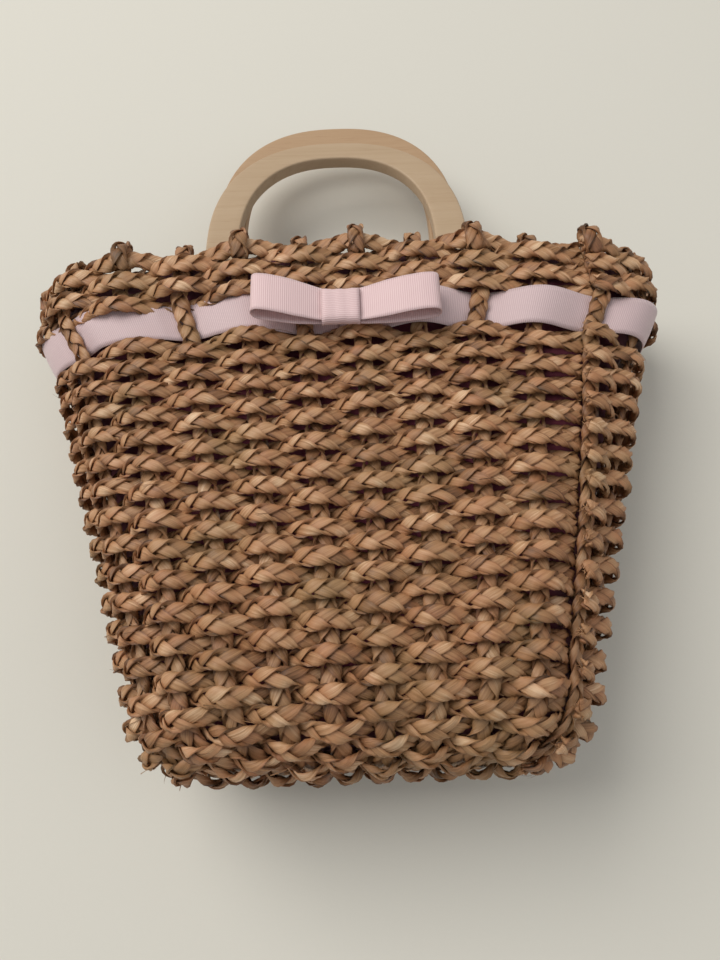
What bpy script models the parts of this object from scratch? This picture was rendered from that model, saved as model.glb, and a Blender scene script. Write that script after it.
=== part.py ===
"""Flower girl basket: a tapered tote of woven braid with a ribbon, a bow and two wooden handles.

Metres. Origin at the centre of the base on the floor, +Z up to the rim, +X to the right of the
bow side, -Y the bow side. The wall is one smooth shell surface that every woven piece follows:
"level" is the distance up the wall from the edge of the flat base, "stake" counts the upright
stakes round the wall from the middle of the bow side towards +X, and "offset" is the distance
out of the shell surface.
"""
import math

import bmesh
import bpy
from mathutils import Vector

# Shell surface
FOOT_HALF_WIDTH = 0.1026
FOOT_HALF_DEPTH = 0.045
WIDTH_TAPER = 0.306
DEPTH_LEAN = 0.056
END_ROUNDNESS = 0.98
BOTTOM_ROUND_RUN = 0.028
BOTTOM_ROUND_RISE = 0.038
RIM_FLARE = 0.0135
RIM_FLARE_DEPTH = 0.003
RIM_TWIST = 0.35
LEFT_DROOP = 0.009
RIGHT_DROOP = 0.008
DROOP_START = 0.04
DROOP_END = 0.16

# Woven rows
STAKE_COUNT = 24
ROW_PITCH = 0.0071
RIM_PITCH = 0.0075
ROW_HEIGHT = 0.0064
BOTTOM_ROW_HEIGHT = 0.0046
BOTTOM_ROW_ROOM = 0.0016
ROW_THICKNESS = 0.003
ROW_SWING = 0.0053
FIRST_ROW_LEVEL = 0.0045
BOTTOM_ROWS = 7
WALL_ROWS = 24
RIM_ROWS = 5
SEAM_STAKE = 4.5
SEAM_HALF_GAP = 0.0015
BOTTOM_ROW_FLAT = 0.72

# Stakes
STAKE_WIDTH = 0.0064
STAKE_THICKNESS = 0.0022
CORNER_ROOM = 0.0040
HOOK_CLEARANCE = 0.0022
HOOK_OUTER_GAP = 0.0039
HOOK_SHOULDER = 0.0034
HOOK_CREST_OUT = 0.0015
HOOK_CREST_IN = 0.0027
HOOK_DIP = 0.0014
BASE_WEAVE_FLAT = 0.0042
BASE_ROW_TAIL = 0.006

# Ribbon and bow
RIBBON_WIDTH = 0.022
RIBBON_THICKNESS = 0.0008
RIBBON_SWING = 0.0031
RIBBON_ROOM = 0.0013
SLOT_PITCH = RIBBON_WIDTH + ROW_HEIGHT + RIBBON_ROOM
BOW_HALF_LENGTH = 0.050
BOW_CENTRE_X = -0.005
BOW_DROP = 0.0028
BOW_LOOP_MIDDLE = 0.0155
BOW_LOOP_BEND = 0.0048
BOW_LOOP_BACK = [(0.0006, 0.0089), (0.018, 0.0094), (0.040, 0.0105)]
BOW_LOOP_FRONT = [(0.032, 0.0178), (0.012, 0.0122), (0.0006, 0.0112)]
BOW_PINCH = 0.86
BOW_PINCH_LENGTH = 0.02
BOW_WRAP_HALF_WIDTH = 0.0095
BOW_WRAP_HALF_HEIGHT = 0.0114
BOW_WRAP_NEAR = 0.0078
BOW_WRAP_FAR = 0.0142
BOW_WRAP_CORNER = 0.0012
BOW_WRAP_END = 0.002

# Lining
LINING_OFFSET = 0.0092
LINING_THICKNESS = 0.0012
LINING_TOP_GAP = 0.0016
LINING_END_ROOM = 1.6

# Handles
HANDLE_X = -0.006
HANDLE_Y = 0.0135
HANDLE_HALF_WIDTH = 0.077
HANDLE_TOP = 0.137
HANDLE_LEG = 0.046
HANDLE_LEG_WIDTH = 0.019
HANDLE_CROWN_WIDTH = 0.0153
HANDLE_BOARD = 0.008
HANDLE_ROUNDING = 0.0012
HANDLE_BAR = 0.010
HANDLE_OUTER_CORNER = 0.014
HANDLE_INNER_CORNER = 0.006
CROWN_POWER = 2 / 2.4
FRONT_PIVOT_Z = 0.2505
BACK_PIVOT_Z = 0.2775
FRONT_TILT = math.radians(6.1)
BACK_TILT = math.radians(-0.3)
SLEEVE_RADIUS = 0.0074
SLEEVE_THICKNESS = 0.0008
SLEEVE_HALF_LENGTH = 0.030
SLEEVE_TAIL = 0.022
SLEEVE_WRAP = (-8, 254)
SLEEVE_SHOULDER = 0.006
SLEEVE_NECK = (0.0045, 0.0095)
SLEEVE_LAYER = 0.0013
SLEEVE_GAP = 0.0008

# Worked out from the sizes above
BASE_LIFT = ROW_SWING + BOTTOM_ROW_ROOM + ROW_THICKNESS / 2
FOOT_Z = BASE_LIFT + BOTTOM_ROUND_RISE
TOP_WALL_ROW = FIRST_ROW_LEVEL + ROW_PITCH * (BOTTOM_ROWS + WALL_ROWS - 1)
RIBBON_LEVEL = TOP_WALL_ROW + SLOT_PITCH / 2
FIRST_RIM_ROW = TOP_WALL_ROW + SLOT_PITCH
TOP_ROW = FIRST_RIM_ROW + RIM_PITCH * (RIM_ROWS - 1)
SLOT_BOTTOM = TOP_WALL_ROW + ROW_HEIGHT / 2
SLOT_TOP = FIRST_RIM_ROW - ROW_HEIGHT / 2
LINING_TOP_LEVEL = TOP_ROW - ROW_HEIGHT / 2 - LINING_TOP_GAP


# ---------------------------------------------------------------- shell surface


def bottom_round_table(steps=60):
    """Distances along the quarter ellipse that joins the base to the wall, one for each angle."""
    table = [(0.0, 0.0)]
    length = 0.0
    for step in range(steps):
        before = math.pi / 2 * step / steps
        after = math.pi / 2 * (step + 1) / steps
        run = BOTTOM_ROUND_RUN * (math.sin(after) - math.sin(before))
        rise = BOTTOM_ROUND_RISE * (math.cos(before) - math.cos(after))
        length += math.hypot(run, rise)
        table.append((length, after))
    return table


ROUND_TABLE = bottom_round_table()
ROUND_LENGTH = ROUND_TABLE[-1][0]


def round_angle(level):
    """The angle round the quarter ellipse, 0 at the base and a right angle at the wall."""
    if level <= 0:
        return 0.0
    if level >= ROUND_LENGTH:
        return math.pi / 2
    for (low, angle_low), (high, angle_high) in zip(ROUND_TABLE, ROUND_TABLE[1:]):
        if level <= high:
            share = (level - low) / (high - low)
            return angle_low + share * (angle_high - angle_low)


def profile(level):
    """How far the wall is inside its foot line, and its height, at this level."""
    angle = round_angle(level)
    inset = BOTTOM_ROUND_RUN * (1 - math.sin(angle)) - min(level, 0.0)
    height = BASE_LIFT + BOTTOM_ROUND_RISE * (1 - math.cos(angle))
    return inset, height + max(level - ROUND_LENGTH, 0.0)


def passed(value, low, high):
    """The share of the way from low to high, kept between 0 and 1."""
    return min(max((value - low) / (high - low), 0.0), 1.0)


def plan(level):
    """Half width, half depth and corner radius of the shell, and its height, at this level."""
    inset, height = profile(level)
    up = max(height - FOOT_Z, 0.0)
    tapered = min(up, SLOT_BOTTOM - ROUND_LENGTH)
    flare = passed(level, SLOT_BOTTOM, SLOT_TOP)
    half_width = FOOT_HALF_WIDTH + WIDTH_TAPER * tapered + RIM_FLARE * flare - inset
    half_depth = FOOT_HALF_DEPTH - DEPTH_LEAN * up + RIM_FLARE_DEPTH * flare - inset
    return half_width, half_depth, END_ROUNDNESS * half_depth, height


def rounded_rectangle(half_width, half_depth, corner, share):
    """The point this share of the way round, from the middle of the -Y side towards +X."""
    front = half_width - corner
    side = half_depth - corner
    quarter = front + corner * math.pi / 2 + side
    along = (share % 1.0) * 4 * quarter
    back = along > 2 * quarter
    if back:
        along = 4 * quarter - along
    rear = along > quarter
    if rear:
        along = 2 * quarter - along
    if along < front:
        x, y = along, -half_depth
    elif along < front + corner * math.pi / 2:
        angle = (along - front) / corner
        x = front + corner * math.sin(angle)
        y = -side - corner * math.cos(angle)
    else:
        x, y = half_width, -(quarter - along)
    return (-x if back else x), (-y if rear else y)


def share_of(stake, level):
    """The share of the way round at which a stake stands: the rim is twisted against the base."""
    twist = RIM_TWIST * passed(level, 0.0, TOP_ROW)
    return (stake - twist) / STAKE_COUNT


def droop(x, level):
    """How much lower the wall hangs at its two ends than in its middle."""
    reach = passed(abs(x), DROOP_START, DROOP_END)
    depth = LEFT_DROOP if x < 0 else RIGHT_DROOP
    return depth * reach * reach * (3 - 2 * reach) * passed(level, ROUND_LENGTH, TOP_ROW)


def on_shell(stake, level):
    half_width, half_depth, corner, height = plan(level)
    x, y = rounded_rectangle(half_width, half_depth, corner, share_of(stake, level))
    return Vector((x, y, height - droop(x, level)))


def shell_frame(stake, level):
    """The point on the shell, with the directions along a row, up the wall and out of it."""
    along = on_shell(stake + 0.02, level) - on_shell(stake - 0.02, level)
    along.normalize()
    level_out = along.cross(Vector((0, 0, 1)))
    angle = round_angle(level)
    out_part = BOTTOM_ROUND_RISE * math.sin(angle)
    down_part = BOTTOM_ROUND_RUN * math.cos(angle)
    out = (level_out * out_part - Vector((0, 0, down_part))).normalized()
    return on_shell(stake, level), along, out.cross(along), out


def off_shell(stake, level, offset):
    point, _, _, out = shell_frame(stake, level)
    return point + out * offset


def band_edge(stake, level, offset, width):
    """The lower and upper point of a band of this width whose middle stands off the shell."""
    point, _, up, out = shell_frame(stake, level)
    middle = point + out * offset
    return middle - up * width / 2, middle + up * width / 2


def spacing(level):
    half_width, half_depth, corner, _ = plan(level)
    quarter = half_width + half_depth - 2 * corner + corner * math.pi / 2
    return 4 * quarter / STAKE_COUNT


def corner_extra(stake, level):
    """The more that a piece stands out at a rounded end, to clear the flat stake's edges."""
    here, along, _, _ = shell_frame(stake, level)
    ahead = along.angle(on_shell(stake + 1, level) - here)
    behind = along.angle(here - on_shell(stake - 1, level))
    return (STAKE_WIDTH / 2 + CORNER_ROOM) * math.tan(max(ahead, behind))


def slope_extra(stake, level):
    """The more that an upright row needs on both sides where the wall leans out at an end."""
    if level < ROUND_LENGTH or level > SLOT_BOTTOM:
        return 0.0
    _, _, _, out = shell_frame(stake, level)
    return ROW_HEIGHT / 2 * WIDTH_TAPER * abs(out.x)


# ---------------------------------------------------------------- shared pieces of modelling


def new_material(name, colour, roughness):
    material = bpy.data.materials.new(name)
    material.use_nodes = True
    shader = material.node_tree.nodes["Principled BSDF"]
    shader.inputs["Base Color"].default_value = (*colour, 1.0)
    shader.inputs["Roughness"].default_value = roughness
    shader.inputs["Metallic"].default_value = 0.0
    return material


def add_object(name, data, material, collection):
    data.materials.append(material)
    piece = bpy.data.objects.new(name, data)
    collection.objects.link(piece)
    return piece


def thicken(piece, thickness):
    solid = piece.modifiers.new("thickness", "SOLIDIFY")
    solid.thickness = thickness
    solid.offset = 0.0
    solid.use_even_offset = True


def strip(name, edges, thickness, material, collection):
    """A flat band through pairs of points, one pair for each place along it."""
    mesh = bmesh.new()
    pairs = [(mesh.verts.new(low), mesh.verts.new(high)) for low, high in edges]
    for (low_a, high_a), (low_b, high_b) in zip(pairs, pairs[1:]):
        mesh.faces.new((low_a, low_b, high_b, high_a))
    data = bpy.data.meshes.new(name)
    mesh.to_mesh(data)
    mesh.free()
    piece = add_object(name, data, material, collection)
    thicken(piece, thickness)
    return piece


# ---------------------------------------------------------------- woven rows


def row_levels():
    levels = [FIRST_ROW_LEVEL + ROW_PITCH * row for row in range(BOTTOM_ROWS + WALL_ROWS)]
    levels += [FIRST_RIM_ROW + RIM_PITCH * row for row in range(RIM_ROWS)]
    return levels


def row_name(row):
    if row < BOTTOM_ROWS:
        return f"bottom_row_{row + 1:02d}"
    if row < BOTTOM_ROWS + WALL_ROWS:
        return f"wall_row_{row - BOTTOM_ROWS + 1:02d}"
    return f"rim_row_{row - BOTTOM_ROWS - WALL_ROWS + 1:02d}"


def row_side(row, stake):
    """+1 where this row passes outside the stake, -1 where it passes inside.

    The ribbon takes the turn of one row between the wall rows and the rim rows.
    """
    turn = row + 1 if row >= BOTTOM_ROWS + WALL_ROWS else row
    return 1 if (turn + round(stake - SEAM_STAKE)) % 2 == 0 else -1


def row_swing(row, stake, level):
    side = row_side(row, stake)
    swing = ROW_SWING + slope_extra(stake, level)
    if row < BOTTOM_ROWS:
        swing += BOTTOM_ROW_ROOM
    elif side > 0:
        swing += corner_extra(stake, level)
    return side * swing


def row_places(row, level):
    """Stake positions and offsets along one row, from the seam all the way round to it.

    A bottom row lies flat across each stake, because the stakes stand close together there.
    """
    step = spacing(level)
    gap = SEAM_HALF_GAP / step
    flat = BOTTOM_ROW_FLAT * STAKE_WIDTH / step if row < BOTTOM_ROWS else 0.0
    places = []
    for count in range(STAKE_COUNT + 1):
        stake = SEAM_STAKE + count
        swing = row_swing(row, stake, level)
        before = gap if count == STAKE_COUNT else 0.0
        after = gap if count == 0 else 0.0
        if flat and count > 0:
            places.append((stake - flat, swing))
        if before or after or not flat:
            places.append((stake - before + after, swing))
        if flat and count < STAKE_COUNT:
            places.append((stake + flat, swing))
    return places


def add_rows(material, collection):
    for row, level in enumerate(row_levels()):
        height = BOTTOM_ROW_HEIGHT if row < BOTTOM_ROWS else ROW_HEIGHT
        edges = []
        for stake, offset in row_places(row, level):
            edges.append(band_edge(stake, level, offset, height))
        strip(row_name(row), edges, ROW_THICKNESS, material, collection)


# ---------------------------------------------------------------- stakes and base


def hook(stake):
    """Levels and offsets of a stake's end, folded over the top row where that row passes it."""
    top = BOTTOM_ROWS + WALL_ROWS + RIM_ROWS - 1
    swing = row_swing(top, stake, TOP_ROW)
    side = math.copysign(1.0, swing)
    reach = abs(swing)
    crest = TOP_ROW + ROW_HEIGHT / 2 + HOOK_CLEARANCE
    return [
        (TOP_ROW - ROW_HEIGHT / 2, side * (reach + HOOK_OUTER_GAP)),
        (TOP_ROW + HOOK_SHOULDER, side * (reach + HOOK_OUTER_GAP)),
        (crest, side * (reach + HOOK_CREST_OUT)),
        (crest, side * (reach - HOOK_CREST_IN)),
        (crest - HOOK_DIP, 0.0),
    ]


def wall_levels(steps):
    """Levels down the straight wall, with one at each corner of the ribbon's slot."""
    levels = [SLOT_TOP, SLOT_BOTTOM]
    for step in range(1, steps):
        levels.append(SLOT_BOTTOM - (SLOT_BOTTOM - ROUND_LENGTH) * step / steps)
    return levels


def upright_places(stake):
    """Levels and offsets down one stake, from its folded end to the edge of the base."""
    places = hook(stake)
    places += [(level, 0.0) for level in wall_levels(4)]
    round_steps = 8
    for step in range(round_steps + 1):
        places.append((ROUND_LENGTH * (1 - step / round_steps), 0.0))
    return places


def upright_edges(stake):
    edges = []
    for level, offset in upright_places(stake):
        point, along, _, out = shell_frame(stake, level)
        middle = point + out * offset
        edges.append((middle - along * STAKE_WIDTH / 2, middle + along * STAKE_WIDTH / 2))
    return edges


def flipped(edges):
    return [(high, low) for low, high in reversed(edges)]


def add_cross_stakes(material, collection):
    """Stakes that run down the bow side, straight under the base and up the back."""
    for number in range(10):
        front = number - 4.5
        back = STAKE_COUNT / 2 - front
        edges = upright_edges(front) + flipped(upright_edges(back))
        strip(f"cross_stake_{number + 1:02d}", edges, STAKE_THICKNESS, material, collection)


def base_weave(y, first_side, swing, reach):
    """Centre points along X that pass below and above the cross stakes in turn."""
    crossings = [on_shell(number - 4.5, 0.0).x for number in range(10)]
    points = [Vector((-reach, y, BASE_LIFT))] if reach else []
    for number, x in enumerate(crossings):
        side = first_side if number % 2 == 0 else -first_side
        height = BASE_LIFT - side * swing
        points.append(Vector((x - BASE_WEAVE_FLAT, y, height)))
        points.append(Vector((x + BASE_WEAVE_FLAT, y, height)))
    if reach:
        points.append(Vector((reach, y, BASE_LIFT)))
    return points


def level_edges(points, width):
    half = Vector((0, width / 2, 0))
    return [(point - half, point + half) for point in points]


def add_long_stakes(material, collection):
    """Stakes that run down one end, along the base through the cross stakes and up the other."""
    swing = BASE_LIFT - STAKE_THICKNESS / 2
    for name, right, first_side in (("long_stake_front", 5.5, 1), ("long_stake_back", 6.5, -1)):
        left = STAKE_COUNT - right
        y = on_shell(right, 0.0).y
        weave = level_edges(base_weave(y, first_side, swing, 0.0), STAKE_WIDTH)
        edges = upright_edges(left)
        if (edges[-1][1] - edges[-1][0]).y < 0:
            weave = [(high, low) for low, high in weave]
        right_edges = flipped(upright_edges(right))
        strip(name, edges + weave + right_edges, STAKE_THICKNESS, material, collection)


def add_base_row(material, collection):
    reach = on_shell(SEAM_STAKE, 0.0).x + BASE_ROW_TAIL
    points = base_weave(0.0, -1, BASE_LIFT - ROW_THICKNESS / 2, reach)
    strip("base_row", level_edges(points, ROW_HEIGHT), ROW_THICKNESS, material, collection)


# ---------------------------------------------------------------- ribbon and bow


def add_ribbon(material, collection):
    """A band threaded through the stakes, its ends meeting under the bow."""
    places = [(0.06, 0.0)]
    for count in range(STAKE_COUNT):
        stake = count + 0.5
        from_bow = min(stake, STAKE_COUNT - stake)
        side = -1 if round(from_bow - 0.5) % 2 == 0 else 1
        extra = corner_extra(stake, RIBBON_LEVEL) if side > 0 else 0.0
        places.append((stake, side * (RIBBON_SWING + extra)))
    places.append((STAKE_COUNT - 0.06, 0.0))
    edges = []
    for stake, offset in places:
        low = off_shell(stake, RIBBON_LEVEL - RIBBON_WIDTH / 2, offset)
        high = off_shell(stake, RIBBON_LEVEL + RIBBON_WIDTH / 2, offset)
        edges.append((low, high))
    strip("ribbon_band", edges, RIBBON_THICKNESS, material, collection)


def bow_point(x, out, up):
    """A place in front of the middle of the ribbon."""
    centre, _, up_wall, out_wall = shell_frame(RIM_TWIST, RIBBON_LEVEL)
    centre.x = 0.0
    place = Vector((BOW_CENTRE_X + x, 0, 0)) + out_wall * out
    return centre + place + up_wall * (up - BOW_DROP)


def add_bow_loop(name, side, material, collection):
    """One flat loop, out along its back and round its end to the centre again."""
    path = list(BOW_LOOP_BACK)
    bend = BOW_LOOP_BEND
    for step in range(7):
        angle = math.pi * (step / 6 - 0.5)
        x = BOW_HALF_LENGTH - bend + bend * math.cos(angle)
        path.append((x, BOW_LOOP_MIDDLE + bend * math.sin(angle)))
    path += BOW_LOOP_FRONT
    edges = []
    for x, out in path:
        fullness = BOW_PINCH + (1 - BOW_PINCH) * min(x / BOW_PINCH_LENGTH, 1.0)
        spread = RIBBON_WIDTH / 2 * fullness
        edges.append((bow_point(side * x, out, -spread), bow_point(side * x, out, spread)))
    strip(name, edges, RIBBON_THICKNESS, material, collection)


def add_bow_wrap(material, collection):
    """The short band wound round the middle of the bow."""
    half_height = BOW_WRAP_HALF_HEIGHT
    near, far = BOW_WRAP_NEAR, BOW_WRAP_FAR
    corner = BOW_WRAP_CORNER
    path = [
        (BOW_WRAP_END, near),
        (half_height - corner, near),
        (half_height, near + corner),
        (half_height, far - corner),
        (half_height - corner, far),
        (corner - half_height, far),
        (-half_height, far - corner),
        (-half_height, near + corner),
        (corner - half_height, near),
        (-BOW_WRAP_END, near),
    ]
    width = BOW_WRAP_HALF_WIDTH
    edges = [(bow_point(-width, out, up), bow_point(width, out, up)) for up, out in path]
    strip("bow_centre_wrap", edges, RIBBON_THICKNESS, material, collection)


# ---------------------------------------------------------------- lining


def add_lining(material, collection):
    """A cloth tub just inside the weave, open at the top."""
    levels = [LINING_TOP_LEVEL] + wall_levels(4)
    levels += [ROUND_LENGTH * share for share in (1.0, 0.75, 0.5, 0.25, 0.0)]
    mesh = bmesh.new()
    rings = []
    for level in levels:
        ring = []
        for count in range(STAKE_COUNT):
            offset = LINING_OFFSET + LINING_END_ROOM * slope_extra(count + 0.5, level)
            ring.append(mesh.verts.new(off_shell(count + 0.5, level, -offset)))
        rings.append(ring)
    for upper, lower in zip(rings, rings[1:]):
        for count in range(STAKE_COUNT):
            after = (count + 1) % STAKE_COUNT
            mesh.faces.new((upper[count], lower[count], lower[after], upper[after]))
    mesh.faces.new(list(reversed(rings[-1])))
    data = bpy.data.meshes.new("lining")
    mesh.to_mesh(data)
    mesh.free()
    piece = add_object("lining", data, material, collection)
    thicken(piece, LINING_THICKNESS)


# ---------------------------------------------------------------- handles


def arch(half_width, top, bottom, corner, steps=22):
    """A D outline: a flat bottom with round corners, straight legs and a full crown."""
    points = []
    corner_steps = 3
    for step in range(corner_steps + 1):
        angle = math.pi / 2 * step / corner_steps
        x = half_width - corner + corner * math.sin(angle)
        points.append((x, bottom + corner - corner * math.cos(angle)))
    for step in range(steps + 1):
        angle = math.pi * step / steps
        x = half_width * math.copysign(abs(math.cos(angle)) ** CROWN_POWER, math.cos(angle))
        y = HANDLE_LEG + (top - HANDLE_LEG) * math.sin(angle) ** CROWN_POWER
        points.append((x, y))
    for step in range(corner_steps, -1, -1):
        angle = math.pi / 2 * step / corner_steps
        x = half_width - corner + corner * math.sin(angle)
        points.append((-x, bottom + corner - corner * math.cos(angle)))
    return points


def add_outline(curve, points):
    spline = curve.splines.new("POLY")
    spline.points.add(len(points) - 1)
    for target, (x, y) in zip(spline.points, points):
        target.co = (x, y, 0.0, 1.0)
    spline.use_cyclic_u = True


def add_handle(name, y, pivot_z, tilt, material, collection):
    """A D ring cut from flat board, its origin on the middle of its straight bar."""
    curve = bpy.data.curves.new(name, "CURVE")
    curve.dimensions = "2D"
    curve.fill_mode = "BOTH"
    half_bar = HANDLE_BAR / 2
    inner_half = HANDLE_HALF_WIDTH - HANDLE_LEG_WIDTH
    inner_top = HANDLE_TOP - HANDLE_CROWN_WIDTH
    add_outline(curve, arch(HANDLE_HALF_WIDTH, HANDLE_TOP, -half_bar, HANDLE_OUTER_CORNER))
    add_outline(curve, arch(inner_half, inner_top, half_bar, HANDLE_INNER_CORNER))
    curve.extrude = HANDLE_BOARD / 2 - HANDLE_ROUNDING
    curve.bevel_depth = HANDLE_ROUNDING
    curve.bevel_resolution = 1
    curve.offset = -HANDLE_ROUNDING
    piece = add_object(name, curve, material, collection)
    piece.location = (HANDLE_X, y, pivot_z)
    piece.rotation_euler = (math.pi / 2 - tilt, 0, 0)
    return piece


def add_sleeve(name, y, pivot_z, material, collection):
    """A cloth loop sewn to the lining that holds a handle's bar, free to turn in it."""
    wall = 1 if y > 0 else -1
    stake = STAKE_COUNT / 2 + RIM_TWIST if y > 0 else RIM_TWIST
    level = pivot_z - SLEEVE_TAIL - FOOT_Z + ROUND_LENGTH
    foot = off_shell(stake, level, -(LINING_OFFSET + LINING_THICKNESS / 2 + SLEEVE_GAP)).y
    inner_foot = foot - wall * SLEEVE_LAYER
    tail_z = pivot_z - SLEEVE_TAIL
    path = [(foot, tail_z), (y + wall * SLEEVE_RADIUS, pivot_z - SLEEVE_SHOULDER)]
    first, last = SLEEVE_WRAP
    steps = 12
    for step in range(steps + 1):
        angle = math.radians(first + (last - first) * step / steps)
        across = wall * SLEEVE_RADIUS * math.cos(angle)
        path.append((y + across, pivot_z + SLEEVE_RADIUS * math.sin(angle)))
    neck_in, neck_down = SLEEVE_NECK
    path += [(y + wall * neck_in, pivot_z - neck_down), (inner_foot, tail_z)]
    half = SLEEVE_HALF_LENGTH
    edges = []
    for place, height in path:
        low = Vector((HANDLE_X - half, place, height))
        high = Vector((HANDLE_X + half, place, height))
        edges.append((low, high))
    strip(name, edges, SLEEVE_THICKNESS, material, collection)


# ---------------------------------------------------------------- build


def clear_scene():
    for item in list(bpy.data.objects):
        bpy.data.objects.remove(item, do_unlink=True)


def build():
    clear_scene()
    collection = bpy.data.collections.new("flower_girl_basket")
    bpy.context.scene.collection.children.link(collection)
    braid = new_material("braid", (0.40, 0.24, 0.13), 0.62)
    stake_braid = new_material("stake_braid", (0.34, 0.20, 0.11), 0.66)
    ribbon = new_material("ribbon", (0.80, 0.62, 0.65), 0.45)
    cloth = new_material("lining_cloth", (0.22, 0.05, 0.08), 0.85)
    wood = new_material("handle_wood", (0.62, 0.45, 0.28), 0.42)
    add_rows(braid, collection)
    add_cross_stakes(stake_braid, collection)
    add_long_stakes(stake_braid, collection)
    add_base_row(braid, collection)
    add_ribbon(ribbon, collection)
    add_bow_loop("bow_left_loop", -1, ribbon, collection)
    add_bow_loop("bow_right_loop", 1, ribbon, collection)
    add_bow_wrap(ribbon, collection)
    add_lining(cloth, collection)
    add_handle("front_handle", -HANDLE_Y, FRONT_PIVOT_Z, FRONT_TILT, wood, collection)
    add_handle("back_handle", HANDLE_Y, BACK_PIVOT_Z, BACK_TILT, wood, collection)
    add_sleeve("front_handle_sleeve", -HANDLE_Y, FRONT_PIVOT_Z, cloth, collection)
    add_sleeve("back_handle_sleeve", HANDLE_Y, BACK_PIVOT_Z, cloth, collection)


build()
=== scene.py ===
"""How the flower girl basket looks: plaited leaf braids, ribbed ribbon, lining cloth, wooden handles.

Metres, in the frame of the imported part. The braids follow the same shell surface as the part:
"level" is the distance up the wall from the edge of the flat base, "stake" counts the upright
stakes round the wall from the middle of the bow side towards +X, and "offset" is the distance
out of the surface.
"""
import math

import bpy
import numpy as np
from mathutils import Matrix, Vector


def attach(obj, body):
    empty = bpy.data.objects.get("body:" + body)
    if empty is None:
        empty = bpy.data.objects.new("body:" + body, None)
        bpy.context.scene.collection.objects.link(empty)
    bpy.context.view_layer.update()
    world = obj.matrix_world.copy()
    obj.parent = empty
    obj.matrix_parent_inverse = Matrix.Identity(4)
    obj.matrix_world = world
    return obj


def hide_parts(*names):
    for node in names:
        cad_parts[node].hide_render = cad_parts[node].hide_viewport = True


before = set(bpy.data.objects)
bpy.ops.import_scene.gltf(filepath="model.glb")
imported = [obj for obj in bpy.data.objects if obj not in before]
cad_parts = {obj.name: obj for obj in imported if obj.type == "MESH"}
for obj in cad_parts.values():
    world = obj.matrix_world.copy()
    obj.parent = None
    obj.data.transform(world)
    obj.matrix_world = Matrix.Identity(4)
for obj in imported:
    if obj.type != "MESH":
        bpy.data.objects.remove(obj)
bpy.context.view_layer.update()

# Shell surface, as in the part
FOOT_HALF_WIDTH = 0.1026
FOOT_HALF_DEPTH = 0.045
WIDTH_TAPER = 0.306
DEPTH_LEAN = 0.056
END_ROUNDNESS = 0.98
BOTTOM_ROUND_RUN = 0.028
BOTTOM_ROUND_RISE = 0.038
RIM_FLARE = 0.0135
RIM_FLARE_DEPTH = 0.003
RIM_TWIST = 0.35
LEFT_DROOP = 0.009
LEFT_SAG = 0.0052
LEFT_SAG_STAKE = 20.7
RIGHT_DROOP = 0.008
DROOP_START = 0.04
DROOP_END = 0.16
STAKE_COUNT = 24
ROW_PITCH = 0.0071
RIM_PITCH = 0.0075
ROW_HEIGHT = 0.0064
FIRST_ROW_LEVEL = 0.0045
BOTTOM_ROWS = 7
WALL_ROWS = 24
RIM_ROWS = 5
SEAM_STAKE = 4.5
BASE_LIFT = 0.0084
RIBBON_WIDTH = 0.022
RIBBON_ROOM = 0.0013
SLOT_PITCH = RIBBON_WIDTH + ROW_HEIGHT + RIBBON_ROOM
CROSS_STAKES = 10
BOW_CENTRE_X = -0.004
LINING_OFFSET = 0.0092

# Handles, as in the part
HANDLE_X = -0.006
HANDLE_Y = 0.0135
HANDLE_HALF_WIDTH = 0.077
HANDLE_TOP = 0.137
HANDLE_LEG = 0.046
HANDLE_LEG_WIDTH = 0.019
HANDLE_CROWN_WIDTH = 0.0153
HANDLE_BOARD = 0.008
HANDLE_ROUNDING = 0.0012
HANDLE_BAR = 0.010
FRONT_PIVOT_Z = 0.2505
BACK_PIVOT_Z = 0.2775
FRONT_TILT = math.radians(6.1)
BACK_TILT = math.radians(-0.3)
CROWN_POWER = 2.4
OUTER_CORNER = 0.014
INNER_CORNER = 0.006
SLEEVE_RADIUS = 0.0074
SLEEVE_TAIL = 0.022
SLEEVE_HALF_LENGTH = 0.030

# Plait of three leaf strands
PLAIT_PERIOD = 0.0315
PLAIT_REACH = 0.0030
PLAIT_DEPTH = 0.0008
PLAIT_SHARPNESS = 0.80
STRAND_HALF_WIDTH = 0.0025
STRAND_HALF_THICKNESS = 0.0005
ROLL_POWER = 2.6
MIDDLE_TINT = 0.5
STEP = 0.0017

# How the rows swing past the stakes, and how thick their plaits are
BOTTOM_SWING = 0.0045
WALL_SWING = 0.0050
RIM_SWING = 0.0042
END_BULGE = 0.0016
SAG_BULGE = 0.0024
TOP_ROW_DROP = 0.0010
SEAM_START_OUTSIDE = -0.0042
SEAM_START_INSIDE = 0.0012
SEAM_END_ROOM = 0.0035
SEAM_END_TURN = -0.7
OUTSIDE_GROWTH = 0.08
BOTTOM_ROW_SCALE = 0.95
FIRST_RIM_SCALE = 1.12
RIM_SCALE_STEP = 0.045
STAKE_SCALE = 1.08
STAKE_TONE = -0.04
CREST_RISE = 0.0092
HOOK_REACH = 0.0089
UPRIGHT_POINTS = 10
LOWEST_CENTRE = 0.0029
WEAVE_FLAT = 0.003

# Cloth. The bow hangs a little below the middle of the ribbon
CLOTH_THICKNESS = 0.0005
RIBBON_OUTSIDE = 0.0050
RIBBON_INSIDE = -0.0031
RIBBON_SAG_ROOM = 0.0026
RIBBON_TUCK = 0.0012
RIBBON_CROWN = 0.0006
BOW_DROP = 0.0052
BOW_PINCH = 0.76
BOW_WRAP_HALF_WIDTH = 0.0095
LINING_AROUND = 144
LINING_THICKNESS = 0.0009
LINING_STAKE_LENGTH = 0.028
SLEEVE_THICKNESS = 0.0006

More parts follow.
